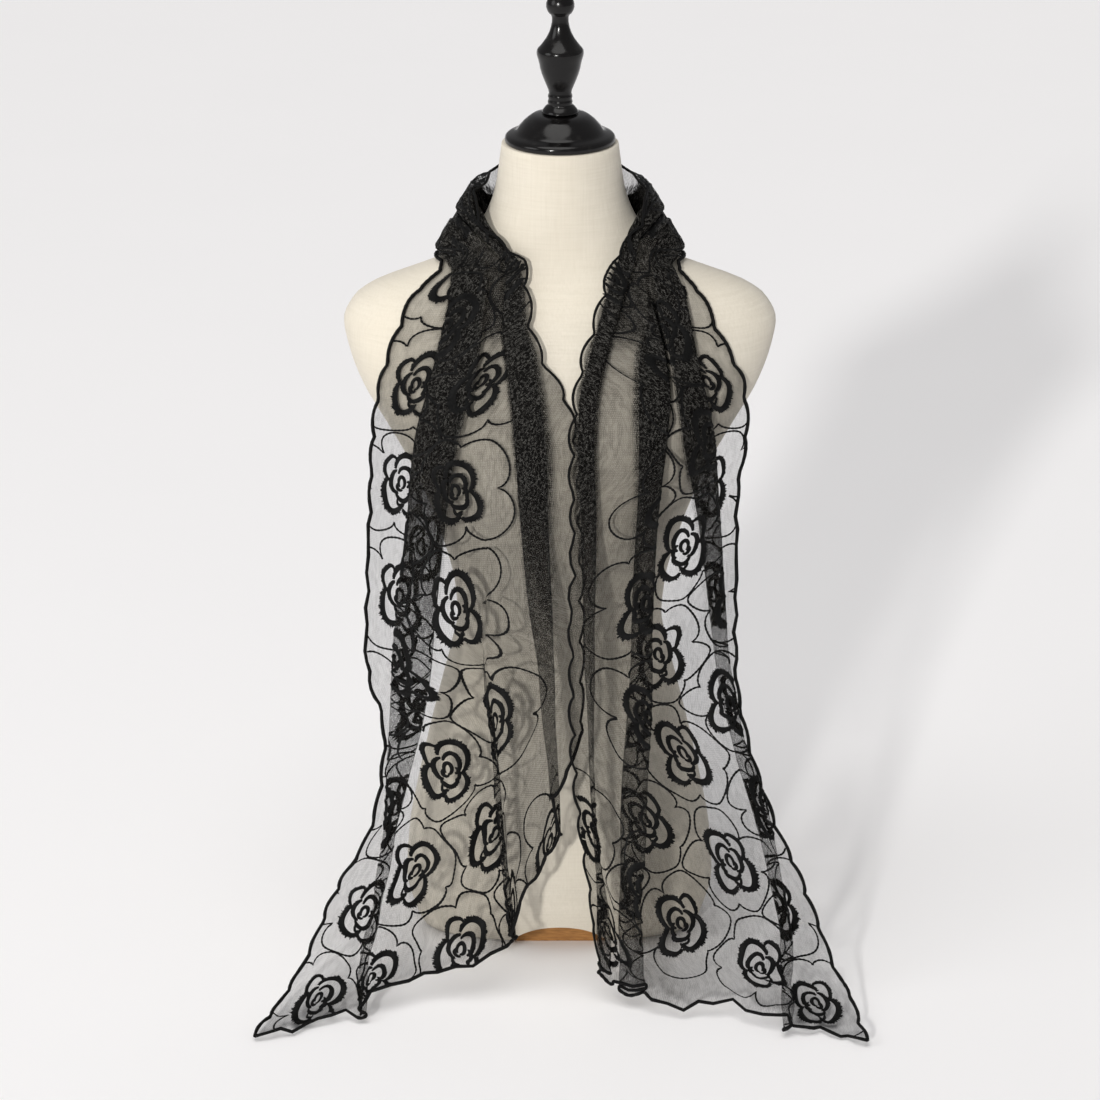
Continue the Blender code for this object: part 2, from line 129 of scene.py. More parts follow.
# Shawl: its gap to the form, the rise from layer to layer of a fold, and a fold's nose.
# Then the widths of a closed and of a whole pleat, how far in front the net hangs free,
# the heights where it leaves the bust and hangs free, and its bend on to the table.
OFF_FORM = 0.0022
LAYER = 0.0035
FOLD_NOSE = 0.00175
CLOSED_PLEAT = 0.004
FULL_PLEAT = 0.008
CLOTH_FALL = 0.145
LEAVES_BUST, HANGS_FREE = 0.45, 0.12
FLOOR_BEND = 0.040

# Front panels, top row first. level_out, level_in: height of the section's two ends, and
# less than 0 the way out along the table. out: from the middle line to the outer edge.
# Then each pleat's outer fold and width, with 0 for a pleat that is closed there, and
# the inner edge.
PANEL_COLUMNS = "level_out level_in out p1 w1 p2 w2 p3 w3 inner".split()
LEFT_ROWS = [
    (0.656, 0.682, 0.116, 0.094, 0.028, 0.0555, 0.000, 0.046, 0.010, 0.0290),
    (0.645, 0.660, 0.131, 0.096, 0.029, 0.057, 0.000, 0.047, 0.013, 0.0260),
    (0.625, 0.630, 0.142, 0.101, 0.030, 0.061, 0.000, 0.051, 0.018, 0.0240),
    (0.600, 0.600, 0.152, 0.108, 0.034, 0.062, 0.000, 0.048, 0.024, 0.0140),
    (0.565, 0.565, 0.162, 0.117, 0.035, 0.065, 0.000, 0.043, 0.025, -0.0080),
    (0.520, 0.520, 0.169, 0.127, 0.035, 0.067, 0.000, 0.039, 0.027, -0.0180),
    (0.450, 0.450, 0.173, 0.134, 0.033, 0.069, 0.000, 0.034, 0.024, -0.0200),
    (0.314, 0.402, 0.178, 0.149, 0.035, 0.070, 0.002, 0.029, 0.022, -0.0220),
    (0.246, 0.377, 0.162, 0.153, 0.030, 0.068, 0.004, 0.025, 0.019, -0.0220),
    (0.178, 0.353, 0.171, 0.161, 0.021, 0.063, 0.006, 0.021, 0.016, -0.0220),
    (0.109, 0.329, 0.204, 0.168, 0.012, 0.061, 0.008, 0.018, 0.013, -0.0220),
    (0.041, 0.304, 0.232, 0.177, 0.009, 0.058, 0.008, 0.015, 0.012, -0.0215),
    (-0.027, 0.280, 0.259, 0.185, 0.008, 0.053, 0.008, 0.012, 0.011, -0.0210),
    (-0.095, 0.256, 0.279, 0.184, 0.008, 0.047, 0.008, 0.010, 0.010, -0.0200),
]
RIGHT_ROWS = [
    (0.656, 0.682, 0.114, 0.1010, 0.020, 0.0730, 0.000, 0.0630, 0.013, 0.0430),
    (0.645, 0.660, 0.127, 0.1080, 0.023, 0.0770, 0.002, 0.0590, 0.015, 0.0370),
    (0.625, 0.630, 0.137, 0.1140, 0.024, 0.0850, 0.008, 0.0500, 0.015, 0.0290),
    (0.600, 0.600, 0.150, 0.1190, 0.021, 0.0920, 0.022, 0.0400, 0.014, 0.0180),
    (0.565, 0.565, 0.165, 0.1270, 0.024, 0.0960, 0.027, 0.0320, 0.015, 0.0105),
    (0.520, 0.520, 0.169, 0.1350, 0.026, 0.0920, 0.023, 0.0295, 0.014, 0.0070),
    (0.450, 0.450, 0.161, 0.1410, 0.019, 0.0850, 0.018, 0.0310, 0.013, 0.0085),
    (0.312, 0.350, 0.161, 0.1520, 0.012, 0.0810, 0.018, 0.0310, 0.010, 0.0065),
    (0.244, 0.301, 0.172, 0.1650, 0.011, 0.0810, 0.020, 0.0320, 0.009, 0.0060),
    (0.175, 0.251, 0.195, 0.1860, 0.012, 0.0790, 0.021, 0.0330, 0.008, 0.0070),
    (0.106, 0.201, 0.226, 0.2020, 0.012, 0.0785, 0.022, 0.0345, 0.008, 0.0100),
    (0.037, 0.151, 0.251, 0.2120, 0.010, 0.0780, 0.022, 0.0370, 0.008, 0.0160),
    (-0.031, 0.092, 0.270, 0.2130, 0.009, 0.0790, 0.024, 0.0430, 0.011, 0.0250),
    (-0.100, 0.022, 0.279, 0.2120, 0.009, 0.0810, 0.026, 0.0470, 0.014, 0.0290),
]
# How far a point's level has gone from the outer end's level to the inner end's, at the
# outer edge, at each pleat's inner and outer fold, and at the inner edge.
LEFT_FAN = (0.0, 0.12, 0.12, 0.40, 0.43, 0.73, 0.84, 1.0)
RIGHT_FAN = (0.0, 0.14, 0.14, 0.60, 0.60, 0.86, 0.86, 1.0)

# Collar, from a shoulder's front round to the back, the same on both sides. turn: degrees
# round the form from the back; height: of the section's two ends. Pleats as above,
# measured from the outer edge.
COLLAR_COLUMNS = "turn_out turn_in height_out height_in p1 w1 p2 w2 p3 w3".split()
COLLAR_ROWS = [
    (-120.0, -138.0, 0.6630, 0.706, 0.013, 0.023, 0.048, 0.0, 0.056, 0.015),
    (-104.0, -112.0, 0.6685, 0.730, 0.008, 0.025, 0.042, 0.0, 0.050, 0.018),
    (-90.0, -90.0, 0.6700, 0.744, 0.006, 0.026, 0.040, 0.0, 0.048, 0.020),
    (-72.0, -70.0, 0.6670, 0.747, 0.007, 0.026, 0.043, 0.0, 0.052, 0.022),
    (-48.0, -48.0, 0.6540, 0.748, 0.009, 0.024, 0.046, 0.0, 0.058, 0.025),
    (-22.0, -22.0, 0.6370, 0.748, 0.010, 0.029, 0.053, 0.0, 0.066, 0.030),
    (0.0, 0.0, 0.6310, 0.748, 0.010, 0.030, 0.055, 0.0, 0.068, 0.031),
]
# Height and half width of the collar's own sides, which span the hollow where the neck
# meets the shoulders.
COLLAR_SIDES = np.array(
    [
        (0.630, 0.130),
        (0.668, 0.106),
        (0.690, 0.095),
        (0.712, 0.082),
        (0.732, 0.068),
        (0.750, 0.052),
        (0.780, 0.024),
    ]
)

# Stations along the net, as in the solids but closer, and edges across it between folds.
PANEL_STATIONS = [(0.0, 4.4, 62), (4.4, 8.0, 36), (8.0, 16.6, 84)]
COLLAR_STATIONS = 64
EDGES = {"into": 16, "nose": 3, "across": (6, 3, 6), "over": (5, 3, 5), "open": 8}
SAMPLES = 420

# Net: how much one layer hides, how many layers lie along the inner edge and where they
# begin across the net, the heights over which the net between pleats is gathered too, and
# how many layers' worth a pleat's layer holds, by height.
ONE_LAYER = 0.29
PLAIN_LAYERS = 1.5
PLAIN_FROM, PLAIN_OVER = 0.46, 0.16
GATHERS_AT, GATHERED_AT = 0.605, 0.655
PACKED = np.array(
    [(0.00, 1.2), (0.20, 1.2), (0.30, 1.2), (0.38, 1.7), (0.48, 3.0), (0.56, 6.0), (0.64, 14.0)]
)

# Scalloped edge: pitch and depth along the long edges and the hems, where the hems' begin,
# how wide a band is drawn in with them, and the cord on them.
SCALLOP_PITCH, SCALLOP_DEPTH, INNER_DEPTH = 0.037, 0.0044, 0.0062
HEM_PITCH, HEM_DEPTH, HEM_START = 0.027, 0.0100, 0.011
DRAWN_BAND = 0.018
CORD_RADIUS, INNER_CORD_RADIUS = 0.00165, 0.00125

# Roses: the lattice's first column, spacing and last column of the band along the outer
# edge, its first row and spacing from the hem, how far the hem's band reaches, and the
# margin to the edges.
ROSE_FIRST, ROSE_SPACING, ROSE_BAND = 0.040, 0.068, 0.186
ROSE_START, ROSE_PITCH = 0.062, 0.100
HEM_BAND = 0.150
ROSE_MARGIN = 0.033

# One rose, in millimetres: arcs of ellipses, with the width of the satin stitching and how
# ragged its outer side is.
ARC_COLUMNS = "x y rx ry start end width ragged".split()
ROSE_ARCS = [
    (7.0, 11.5, 14.0, 17.0, -60, 172, 5.2, 0.8),
    (-11.5, 13.0, 9.0, 12.5, 44, 252, 4.0, 0.6),
    (-9.0, -10.5, 13.0, 17.0, 118, 326, 5.4, 1.1),
    (10.5, -15.5, 11.5, 14.0, -138, 74, 5.0, 1.1),
    (4.6, 6.0, 8.0, 10.0, -72, 164, 4.4, 0.3),
    (-5.4, 1.0, 7.4, 10.6, 84, 286, 4.5, 0.3),
    (2.2, -9.6, 8.6, 7.0, 186, 384, 4.3, 0.4),
    (0.6, 0.6, 3.9, 5.4, -96, 236, 3.8, 0.1),
    (-1.4, -3.6, 3.6, 3.6, 96, 322, 3.6, 0.1),
    (8.2, -4.2, 3.4, 5.8, -96, 104, 3.7, 0.3),
    (-0.6, -17.5, 4.4, 4.6, 150, 340, 3.0, 0.0),
]
ROSE_ACROSS, ROSE_ALONG = 0.86, 0.98

# Stitching: length of a satin stitch in the rose's millimetres, how high the satin and the
# thin outlines stand, how high their sides lie, and the outlines' beads.
STITCH_STEP = 1.15
SATIN_HEIGHT, OUTLINE_HEIGHT, SIDE_HEIGHT = 0.0010, 0.0005, 0.00025
BEAD_PITCH = 0.0042

# Thin outline round a rose: nearest and farthest reach, points, lobes and width of its line,
# which is in millimetres, and over how many points its reach is smoothed.
CELL_NEAR_ALONG, CELL_NEAR_ACROSS, CELL_FAR = 0.030, 0.022, 0.060
CELL_POINTS, CELL_LOBES, CELL_WIDTH, CELL_SMOOTH = 260, 5, 2.1, 17

# Sides of the turned wood and of the form, the form's rings low and above, sides and
# unevenness of the cords, and the floor's half width and depth under the form.
TURNED_SIDES, BODY_SIDES = 96, 144
LOW_RINGS, HIGH_RINGS, LOW_TO = 16, 150, 0.03
CORD_SIDES, CORD_SWELL = 8, 0.10
FLOOR_REACH, FLOOR_UNDER = 30, 0.0002

# Camera at the photograph's angle.
CAMERA_PLACE, CAMERA_WAY, CAMERA_LENS = (-0.009, -2.98, 1.57), (0.0, 2.98, -1.185), 112.6


def curve(keys, values, at):
    """Smooth values between the rows of a table that never swing past them."""
    slope = np.diff(values, axis=0) / np.diff(keys)[:, None]
    tangent = np.vstack([slope[:1], np.zeros_like(values[1:-1]), slope[-1:]])
    product = slope[1:] * slope[:-1]
    total = slope[1:] + slope[:-1]
    safe = np.where(total == 0, 1, total)
    tangent[1:-1] = np.where(product > 0, 2 * product / safe, 0)
    at = np.clip(np.atleast_1d(at), keys[0], keys[-1])
    row = np.clip(np.searchsorted(keys, at, side="right") - 1, 0, len(keys) - 2)
    span = (keys[row + 1] - keys[row])[:, None]
    t = (at - keys[row])[:, None] / span
    return (
        (1 + 2 * t) * (1 - t) ** 2 * values[row]
        + t * (1 - t) ** 2 * span * tangent[row]
        + t * t * (3 - 2 * t) * values[row + 1]
        + t * t * (t - 1) * span * tangent[row + 1]
    )


def ease(t):
    """0 to 1 with soft ends."""
    t = np.clip(t, 0, 1)
    return t * t * (3 - 2 * t)


def form_section(height):
    """Half width, front depth, back depth and squareness at each height."""
    flat = np.ravel(height)
    values = curve(FORM_SECTIONS[:, 0], FORM_SECTIONS[:, 1:], flat)
    return [values[:, k].reshape(np.shape(height)) for k in range(4)]


def collar_half(height, half):
    """The half width that the collar lies on."""
    spanned = curve(COLLAR_SIDES[:, 0], COLLAR_SIDES[:, 1:], np.ravel(height))[:, 0]
    spanned = spanned.reshape(np.shape(height))
    return 0.5 * (half + spanned + np.sqrt((half - spanned) ** 2 + 0.010**2))


def form_point(turn, height, collar=False):
    """The form's, or the collar's, surface at an angle from the back, and at a height."""
    half, front, back, square = form_section(height)
    if collar:
        half = collar_half(height, half)
    side, ahead = np.sin(turn), np.cos(turn)
    depth = np.where(ahead > 0, back, front)
    x = half * np.sign(side) * np.abs(side) ** (2 / square)
    y = depth * np.sign(ahead) * np.abs(ahead) ** (2 / square)
    return np.stack([x, y, height + 0 * x], -1)


def front_depth(x, height):
    """How far the form's front stands out at x and a height."""
    half, front, _, square = form_section(height)
    inside = np.maximum(1 - (np.abs(x) / half) ** square, 0)
    return front * inside ** (1 / square)


def hanging(x, level):
    """The net's fall in front, as in the solids, with light ripples and a wavy hem."""
    x, level = np.broadcast_arrays(x, level)
    height = 0.5 * (level + np.sqrt(level**2 + FLOOR_BEND**2))
    height = height - 0.004 * ease(-level / 0.08)
    above = np.maximum(height[..., None], np.linspace(0.44, 0.66, 23))
    on_form = front_depth(x[..., None] + 0 * above, above).max(-1)
    free = ease((LEAVES_BUST - height) / (LEAVES_BUST - HANGS_FREE))
    sway = 0.006 * free * np.sin(70 * x + 9 * height + 0.6)
    ripple = 0.0009 * free * np.sin(236 * x + 11 * np.sin(7 * height))
    depth = (1 - free) * on_form + free * CLOTH_FALL + sway + ripple + height - level
    low = ease((0.035 - height) / 0.035)
    waves = 0.0022 * low * (1 + np.sin(104 * x + 38 * level + 0.8))
    waves = waves + 0.0012 * low * (1 + np.sin(236 * x - 64 * level))
    return np.stack([x, -depth, height + waves], -1)


def outward(surface, a, b, step_a, step_b, side):
    """Unit normals of a surface of two values, by differences."""
    along_a = surface(a + step_a, b) - surface(a - step_a, b)
    along_b = surface(a, b + step_b) - surface(a, b - step_b)
    normal = np.cross(along_a, along_b) * side
    return normal / np.linalg.norm(normal, axis=-1, keepdims=True)


def even(start, end, edges):
    """Points from start to end, without the start."""
    return [start + (end - start) * (k + 1) / edges for k in range(edges)]


def section(pleats, width, fan, settled, bridge):
    """Distance from the outer edge, rise, fan share and stacking of a section's points.

    settled is 1 where the last pleat and the inner edge lie down on the form, and 0 where
    they stay up, as the right panel's do to pass over the left one. bridge is 1 where the
    cloth spans from pleat to pleat instead of lying down between them.
    """
    across, rise, share, stack = [0.0], [0.0], [fan[0]], [0.0]

    def add(positions, rises, shares, stacked):
        across.extend(positions)
        rise.extend(rises)
        share.extend(shares)
        stack.extend([stacked] * len(positions))

    def fold(place, way, near_nose, far_nose, base, layer, at_share, stacked):
        """Round a fold at place, from rise base to base + layer."""
        for turn in even(-90.0, 90.0, 2 * EDGES["nose"]):
            bend = math.radians(turn)
            nose = near_nose if turn <= 0 else far_nose
            lifted = base + 0.5 * layer * (1 + math.sin(bend))
            add([place - way * nose * (1 - math.cos(bend))], [lifted], [at_share], stacked)

    top, cleared, last_share, far = 0.0, 0.0, fan[0], 0.0
    for k, (edge, pleat) in enumerate(pleats):
        wide = pleat - CLOSED_PLEAT * (1 - ease(pleat / FULL_PLEAT))
        open_share = ease((wide + CLOSED_PLEAT) / (0.5 * FULL_PLEAT + CLOSED_PLEAT))
        near = edge + 0.5 * (pleat - wide)
        far = near + wide
        nose = FOLD_NOSE * (2 * open_share - 1)
        nose = min(nose, 0.4 * max(wide, 0.0)) if nose > 0 else nose
        layer = LAYER * open_share
        tilt = 0.3 * layer * (1 - ease(wide / FULL_PLEAT))
        flat_from = min(near - 0.003, far - FOLD_NOSE - 0.001)
        far_share, near_share = fan[1 + 2 * k], fan[2 + 2 * k]
        gone = (flat_from - cleared) / (far - cleared)
        mid_share = last_share + (far_share - last_share) * gone
        base = (0.0, 0.75 * top * bridge, max(LAYER * (1 - settled), 0.40 * top * bridge))[k]
        edges = EDGES["open"]
        add(
            even(cleared, flat_from, edges),
            [top + (base - top) * ease(g) for g in even(0.0, 1.0, edges)],
            even(last_share, mid_share, edges),
            0.0,
        )
        edges = EDGES["into"]
        add(
            even(flat_from, far - FOLD_NOSE, edges),
            [base] * edges,
            even(mid_share, far_share, edges),
            open_share,
        )
        fold(far, 1, FOLD_NOSE, nose, base, layer - tilt, far_share, 1.5 * open_share)
        edges = EDGES["across"][k]
        add(
            even(far - nose, near + nose, edges),
            even(base + layer - tilt, base + layer + tilt, edges),
            even(far_share, near_share, edges),
            open_share,
        )
        at_near = (base + layer + tilt, layer - tilt, near_share, 1.5 * open_share)
        fold(near, -1, nose, FOLD_NOSE, *at_near)
        top = base + 2 * layer
        cleared = max(far + 0.003, near + FOLD_NOSE + 0.001)
        if k == len(pleats) - 1:
            cleared = min(cleared, width - 0.006)
        last_share = near_share + 0.3 * (fan[3 + 2 * k] - near_share)
        edges = EDGES["over"][k]
        add(
            even(near + FOLD_NOSE, cleared, edges),
            [top] * edges,
            even(near_share, last_share, edges),
            open_share,
        )
    drop = top * settled * ease((width - far - 0.008) / 0.010)
    edges = EDGES["open"] + 1
    add(
        even(cleared, width, edges),
        [top - drop * ease(g) for g in even(0.0, 1.0, edges)],
        even(last_share, 1.0, edges),
        0.0,
    )
    return [np.array(found) for found in (across, rise, share, stack)]


def named(rows, columns, at):
    """The table's values at a place among its rows, by column name."""
    table = np.array(rows, float)
    values = curve(np.arange(len(table), dtype=float), table, at)[0]
    return dict(zip(columns, values))


def panel_section(rows, fan, side, at):
    """One section of a front panel: its points, and how far each lies in a stack of folds.

    side is -1 on the left, where the last pleat lies down on the form.
    """
    row = named(rows, PANEL_COLUMNS, at)
    pleats = [(row["out"] - row[f"p{k}"], row[f"w{k}"]) for k in (1, 2, 3)]
    width = row["out"] - row["inner"]
    settled = 1.0 if side < 0 else 0.0
    across, rise, share, stack = section(pleats, width, fan, settled, ease(1 - at / 2))
    straight = across / width
    blend = ease((0.62 - row["level_out"]) / 0.14)
    share = (1 - blend) * straight + blend * share
    level = row["level_out"] + (row["level_in"] - row["level_out"]) * share
    x = side * (row["out"] - across)
    point = hanging(x, level)
    normal = outward(hanging, x, level, 0.004, 0.004, 1.0)
    return np.column_stack([point + normal * (OFF_FORM + rise)[:, None], stack])


def collar_section(side, at):
    """One section of the collar's half on that side, with the same values."""
    row = named(COLLAR_ROWS, COLLAR_COLUMNS, at)
    steps = np.linspace(0, 1, 30)
    turns = np.radians(row["turn_out"] + (row["turn_in"] - row["turn_out"]) * steps)
    heights = row["height_out"] + (row["height_in"] - row["height_out"]) * steps
    track = form_point(turns, heights, True)
    run = running(track)
    pleats = [(row[f"p{k}"], row[f"w{k}"]) for k in (1, 2, 3)]
    settled = 1.0 if side < 0 else ease(at / 3)
    across, rise, _, stack = section(pleats, run[-1], (0.0,) * 8, settled, 1.0)
    place = np.interp(across, run, steps)
    turn = np.radians(row["turn_out"] + (row["turn_in"] - row["turn_out"]) * place)
    height = row["height_out"] + (row["height_in"] - row["height_out"]) * place
    point = form_point(turn, height, True)
    normal = outward(lambda a, b: form_point(a, b, True), turn, height, 0.05, 0.008, -1.0)
    found = point + normal * (OFF_FORM + rise)[:, None]
    found[:, 0] *= -side
    return np.column_stack([found, stack])


def shawl_section(at):
    """A section of the whole shawl: 0 is the left hem, and the right hem is LAST."""
    if at > LAST / 2:
        side, at, rows, fan = 1, LAST - at, RIGHT_ROWS, RIGHT_FAN
    else:
        side, rows, fan = -1, LEFT_ROWS, LEFT_FAN
    hem = len(rows) - 1
    if at <= hem:
        return panel_section(rows, fan, side, hem - at)
    top = panel_section(rows, fan, side, 0.0)
    if at < hem + 1:
        first = collar_section(side, 0.0)
        return top + (first - top) * (at - hem)
    return collar_section(side, at - hem - 1)


LAST = 2.0 * (len(LEFT_ROWS) + len(COLLAR_ROWS) - 1)
SEAM = PANEL_STATIONS[-1][1]


# The sheet: rows of evenly spaced samples from its outer to its inner edge.
def sheet_rows():
    """Places of the rows, from the left hem over the back to the right hem."""
    spans = [np.linspace(a, b, n, endpoint=False) for a, b, n in PANEL_STATIONS]
    left = np.append(np.concatenate(spans), SEAM)
    collar = np.linspace(SEAM, LAST - SEAM, COLLAR_STATIONS + 1)[1:-1]
    return np.concatenate([left, collar, LAST - left[::-1]])


def running(points):
    """Distance run along a line of points."""
    steps = np.linalg.norm(np.diff(points[:, :3], axis=0), axis=1)
    return np.concatenate([[0.0], np.cumsum(steps)])


def resampled(points, samples):
    """Evenly spaced points along a line of points, and the line's length."""
    run = running(points)
    even_run = np.linspace(0, run[-1], samples)
    columns = [np.interp(even_run, run, column) for column in points.T]
    return np.column_stack(columns), run[-1]


PLACES = sheet_rows()
made = [resampled(shawl_section(p), SAMPLES) for p in PLACES]
SHEET = np.array([row[:, :3] for row, _ in made])
STACK = np.array([row[:, 3] for row, _ in made])
ACROSS = np.array([length for _, length in made])
ROW_COUNT = len(PLACES)
ROW_INDEX = np.arange(ROW_COUNT, dtype=float)


def sheet_normals():
    """The sheet's directions away from the form."""
    along = np.gradient(SHEET, axis=0)
    across = np.gradient(SHEET, axis=1)
    normal = np.cross(along, across)
    length = np.linalg.norm(normal, axis=-1, keepdims=True)
    normal = normal / np.maximum(length, 1e-12)
    middle = normal[ROW_COUNT // 2, SAMPLES // 30]
    return normal * (1.0 if middle[1] > 0 else -1.0)


NORMALS = sheet_normals()


def centred_run(column):
    """Distance along a column of the sheet, 0 in the middle of the back."""
    run = running(SHEET[:, column])
    return run - np.interp(0.5 * (ROW_COUNT - 1), ROW_INDEX, run)


OUTER_U = centred_run(0)
INNER_U = centred_run(SAMPLES - 1)
LEAN = INNER_U - OUTER_U
FLAT_WIDTH = np.sqrt(np.maximum(ACROSS**2 - LEAN**2, 0.05**2))


def at_row(values, row):
    """One value for each row, read at any place among the rows."""
    return np.interp(row, ROW_INDEX, values)


def lookup(grid, row, share):
    """Values of a grid over the sheet at row places and shares of the way across it."""
    row = np.clip(row, 0, ROW_COUNT - 1.0001)
    column = np.clip(share, 0, 1) * (SAMPLES - 1.0001)
    r, c = row.astype(int), column.astype(int)
    fr, fc = row - r, column - c
    if grid.ndim == 3:
        fr, fc = fr[..., None], fc[..., None]
    top = grid[r, c] * (1 - fc) + grid[r, c + 1] * fc
    low = grid[r + 1, c] * (1 - fc) + grid[r + 1, c + 1] * fc
    return top * (1 - fr) + low * fr


def find(u, v):
    """Row place and share across of flat coordinates, and which of them are on the net."""
    row = np.interp(u, OUTER_U, ROW_INDEX)
    for _ in range(12):
        share = v / at_row(FLAT_WIDTH, row)
        row = np.interp(u - share * at_row(LEAN, row), OUTER_U, ROW_INDEX)
    share = v / at_row(FLAT_WIDTH, row)
    inside = (row > 0.3) & (row < ROW_COUNT - 1.3) & (share > 0.004) & (share < 0.998)
    return row, share, inside


def flat_of(row, share):
    """Flat coordinates of row places and shares across."""
    u = at_row(OUTER_U, row) + share * at_row(LEAN, row)
    return u, share * at_row(FLAT_WIDTH, row)


def on_sheet(row, share, lift=0.0):
    """Points on the sheet, lifted off it."""
    lift = np.broadcast_to(lift, np.shape(row))[..., None]
    normal = lookup(NORMALS, row, share)
    normal = normal / np.maximum(np.linalg.norm(normal, axis=-1, keepdims=True), 1e-9)
    return lookup(SHEET, row, share) + normal * lift


def scallop(run, depth, pitch=SCALLOP_PITCH):
    """How far the edge is drawn in from its lobes' tops, at each distance along it."""
    return depth * (1 - np.abs(np.sin(math.pi * run / pitch)) ** 0.75)


# Materials
def new_material(name, colour, roughness, **sockets):
    """A plain material. Sockets are named with _ for each space."""
    made = bpy.data.materials.new(name)
    made.use_nodes = True
    shader = made.node_tree.nodes["Principled BSDF"]
    shader.inputs["Base Color"].default_value = (*colour, 1)
    shader.inputs["Roughness"].default_value = roughness
    for socket, value in sockets.items():
        shader.inputs[socket.replace("_", " ")].default_value = value
    return made


def node(material, kind, links=(), **settings):
    """A new node with the settings, and (socket, source) links into it."""
    tree = material.node_tree
    made = tree.nodes.new(kind)
    for name, value in settings.items():
        setattr(made, name, value)
    for socket, source in links:
        if hasattr(source, "links"):
            tree.links.new(source, made.inputs[socket])
        else:
            made.inputs[socket].default_value = source
    return made


def feed(material, socket, source):
    """Link a source into the material's own shader."""
    material.node_tree.links.new(source, material.node_tree.nodes["Principled BSDF"].inputs[socket])


def coordinates(material, scale, of="Object"):
    source = node(material, "ShaderNodeTexCoord")
    return node(
        material,
        "ShaderNodeMapping",
        [("Vector", source.outputs[of]), ("Scale", scale)],
    ).outputs["Vector"]


def noise(material, scale, detail=3.0, of="Object", distortion=0.0):
    made = node(
        material,
        "ShaderNodeTexNoise",
        [
            ("Vector", coordinates(material, scale, of)),
            ("Scale", 1.0),
            ("Detail", detail),
            ("Distortion", distortion),
        ],
    )
    return made.outputs["Fac"]


def ranged(material, value, low, high, to_low, to_high):
    return node(
        material,
        "ShaderNodeMapRange",
        [
            ("Value", value),
            ("From Min", low),
            ("From Max", high),
            ("To Min", to_low),
            ("To Max", to_high),
        ],
    ).outputs["Result"]


def maths(material, operation, first, second):
    return node(
        material,
        "ShaderNodeMath",
        [(0, first), (1, second)],
        operation=operation,
    ).outputs["Value"]


def mixed(material, share, first, second):
    made = node(
        material,
        "ShaderNodeMix",
        [("Factor", share)],
        data_type="RGBA",
    )
    for place, colour in ((6, first), (7, second)):
        if hasattr(colour, "links"):
            material.node_tree.links.new(colour, made.inputs[place])
        else:
            made.inputs[place].default_value = (*colour, 1)
    return made.outputs[2]


def bumped(material, height, strength, distance):
    made = node(
        material,
        "ShaderNodeBump",
        [("Height", height), ("Strength", strength), ("Distance", distance)],
    )
    feed(material, "Normal", made.outputs["Normal"])


def tulle_look():
    """Black net: open between its threads, denser and mottled where pleats pack it, with specks
    there that let more through and whose fibre colour is lightened to grey, which is painted light.
    """
    look = new_material("tulle", (0.01, 0.01, 0.011), 0.7, Specular_IOR_Level=0.05)
    cover = node(look, "ShaderNodeAttribute", attribute_name="cover").outputs["Fac"]
    cells = node(
        look,
        "ShaderNodeTexVoronoi",
        [("Vector", coordinates(look, (620, 620, 1), "UV")), ("Scale", 1.0), ("Randomness", 0.45)],
        voronoi_dimensions="2D",
        feature="DISTANCE_TO_EDGE",
    ).outputs["Distance"]
    threads = ranged(look, cells, 0.04, 0.30, 1.45, 0.72)
    crinkle = ranged(look, noise(look, (95, 260, 1), 4, "UV", 1.2), 0.35, 0.68, 0.78, 1.22)
    seen = maths(look, "MULTIPLY", maths(look, "MULTIPLY", cover, threads), crinkle)
    # Moiré specks on packed and folded net: they let more through, which is real, and lighten the
    # fibre colour, which is painted light.
    moire_holes_and_painted_light = ranged(look, noise(look, (420, 520, 1), 3, "UV", 1.2), 0.50, 0.62, 0.0, 1.0)
    packed = ranged(look, cover, 0.45, 0.65, 0.0, 1.0)
    folded = node(look, "ShaderNodeAttribute", attribute_name="folded").outputs["Fac"]
    light = maths(look, "MULTIPLY", moire_holes_and_painted_light, maths(look, "MAXIMUM", packed, folded))
    seen = maths(look, "MINIMUM", seen, 1.0)
    feed(look, "Alpha", maths(look, "SUBTRACT", seen, maths(look, "MULTIPLY", light, 0.16)))
    # Painted light: the fibre colour goes from near black to grey in the moiré specks.
    feed(look, "Base Color", mixed(look, light, (0.0022, 0.0019, 0.0016), (0.062, 0.060, 0.055)))
    bumped(look, cells, 0.35, 0.0004)
    return look


def thread_look(name, pitch, colour=0.0014):
    """Twisted black embroidery yarn, with its stitches as fine ribs along the u of its UV."""
    look = new_material(name, (colour,) * 3, 0.55, Specular_IOR_Level=0.12)
    ribs = node(
        look,
        "ShaderNodeTexWave",
        [
            ("Vector", coordinates(look, (1 / pitch, 160, 1), "UV")),
            ("Scale", 1 / 3.1416),
            ("Distortion", 1.2),
            ("Detail", 2.0),
        ],
    ).outputs["Fac"]
    feed(look, "Base Color", mixed(look, ribs, (colour * 0.6,) * 3, (colour * 2.4,) * 3))
    feed(look, "Roughness", ranged(look, ribs, 0.0, 1.0, 0.58, 0.36))
    bumped(look, ribs, 0.8, 0.0003)
    return look


def linen_look():
    """Cream linen: slubs along both threads over a fine plain weave."""
    look = new_material("linen", (0.66, 0.61, 0.51), 0.85, Sheen_Weight=0.15, Sheen_Roughness=0.5)
    upright = noise(look, (620, 620, 26), 3)
    level = noise(look, (30, 30, 620), 3)
    slubs = maths(look, "ADD", upright, level)
    tone = ranged(look, slubs, 0.70, 1.32, 0.0, 1.0)
    clouds = ranged(look, noise(look, (9, 9, 7), 2), 0.35, 0.65, 0.0, 1.0)
    weave = mixed(look, tone, (0.595, 0.550, 0.462), (0.665, 0.620, 0.532))
    soft = mixed(look, maths(look, "MULTIPLY", clouds, 0.35), weave, (0.675, 0.610, 0.495))
    feed(look, "Base Color", soft)
    bumped(look, slubs, 0.45, 0.0004)
    return look


